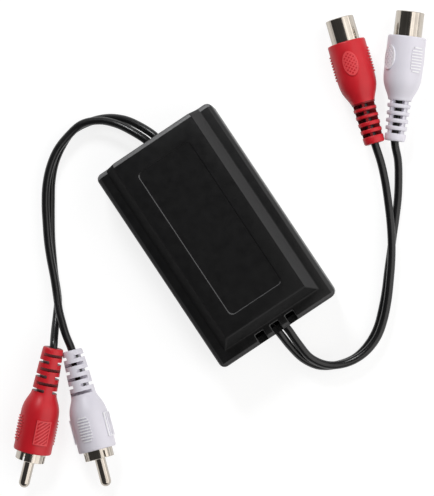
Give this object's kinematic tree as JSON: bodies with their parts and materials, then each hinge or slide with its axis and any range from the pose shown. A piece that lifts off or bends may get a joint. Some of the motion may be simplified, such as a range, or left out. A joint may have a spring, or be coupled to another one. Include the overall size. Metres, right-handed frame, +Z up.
{
  "type": "ground loop isolator",
  "caption": "Black plastic box with audio transformers inside, phono plug leads from one end and inline phono socket leads from the other",
  "frame": {"origin": "centre of the case's underside, on the table that the leads lie on", "axes": "+X along the case to the socket leads' end, which has the notches; +Y across the case; +Z up"},
  "size_m": [0.1037, 0.1745, 0.022],
  "materials": {
    "case": "satin black",
    "lead": "satin black vinyl",
    "red_boot": "satin red vinyl",
    "white_boot": "satin white vinyl",
    "nickel": "bright nickel plate",
    "insulator": "matte off-white",
    "screw": "zinc plated",
    "board": "green laminate",
    "core": "dull laminated iron",
    "bobbin": "black nylon",
    "winding": "yellow tape over enamelled wire",
    "tie": "natural nylon"
  },
  "bodies": {
    "root": {"top_cover": "case", "bottom_case": "case", "circuit_board": "board", "case_screw_1": "screw", "case_screw_2": "screw", "case_screw_3": "screw", "case_screw_4": "screw", "transformer_core_1": "core", "transformer_bobbin_1": "bobbin", "transformer_winding_1": "winding", "transformer_core_2": "core", "transformer_bobbin_2": "bobbin", "transformer_winding_2": "winding", "lead_tie_plug_end": "tie", "plug_lead_red": "lead", "plug_boot_red": "red_boot", "plug_insulator_red": "insulator", "plug_ring_red": "nickel", "plug_pin_red": "nickel", "plug_lead_white": "lead", "plug_boot_white": "white_boot", "plug_insulator_white": "insulator", "plug_ring_white": "nickel", "plug_pin_white": "nickel", "lead_tie_socket_end": "tie", "socket_lead_red": "lead", "socket_boot_red": "red_boot", "socket_insulator_red": "insulator", "socket_shell_red": "nickel", "socket_contact_red": "nickel", "socket_lead_white": "lead", "socket_boot_white": "white_boot", "socket_insulator_white": "insulator", "socket_shell_white": "nickel", "socket_contact_white": "nickel"}
  },
  "joints": []
}
